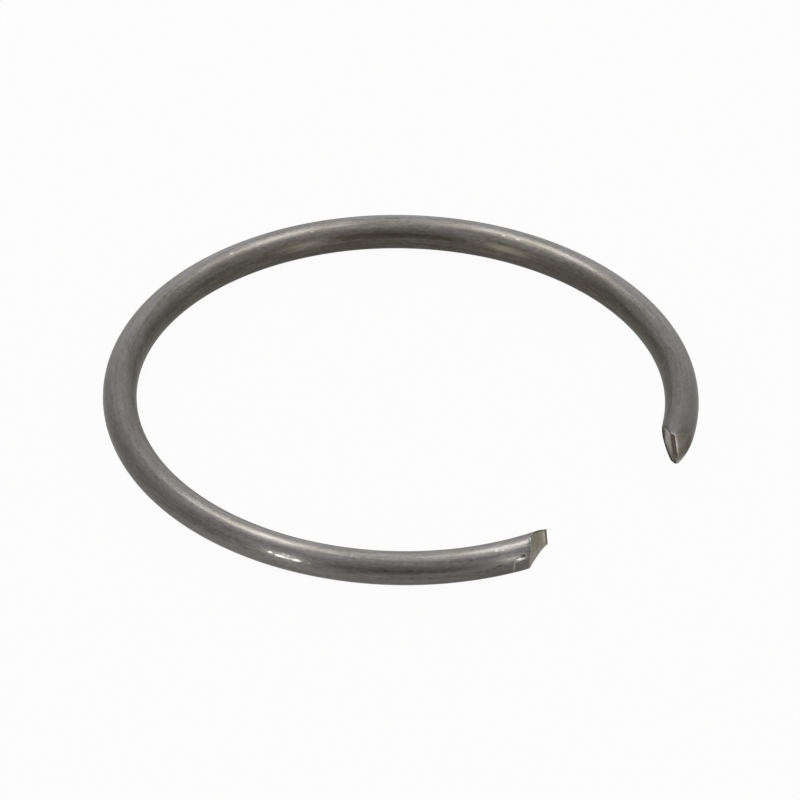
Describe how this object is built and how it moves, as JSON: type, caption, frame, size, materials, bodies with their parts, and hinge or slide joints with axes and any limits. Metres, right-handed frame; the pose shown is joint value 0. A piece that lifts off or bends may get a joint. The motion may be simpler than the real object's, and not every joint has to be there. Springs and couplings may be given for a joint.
{
  "type": "snap ring",
  "caption": "Open snap ring of round spring wire that springs into a shaft groove and retains what sits against it; one cropped end keeps a thin lip, the other a wedge.",
  "frame": {"origin": "centre of the ring, at the wire's mid height", "axes": "+Z along the ring's axis, +X from the centre through the middle of the gap, lip end on the -Y side"},
  "size_m": [0.0422, 0.044, 0.0024],
  "materials": {
    "spring_wire": "drawn spring-steel wire, dull grey with fine lengthwise draw lines and a thin brown patina"
  },
  "bodies": {
    "root": {"snap_ring": "spring_wire"}
  },
  "joints": []
}
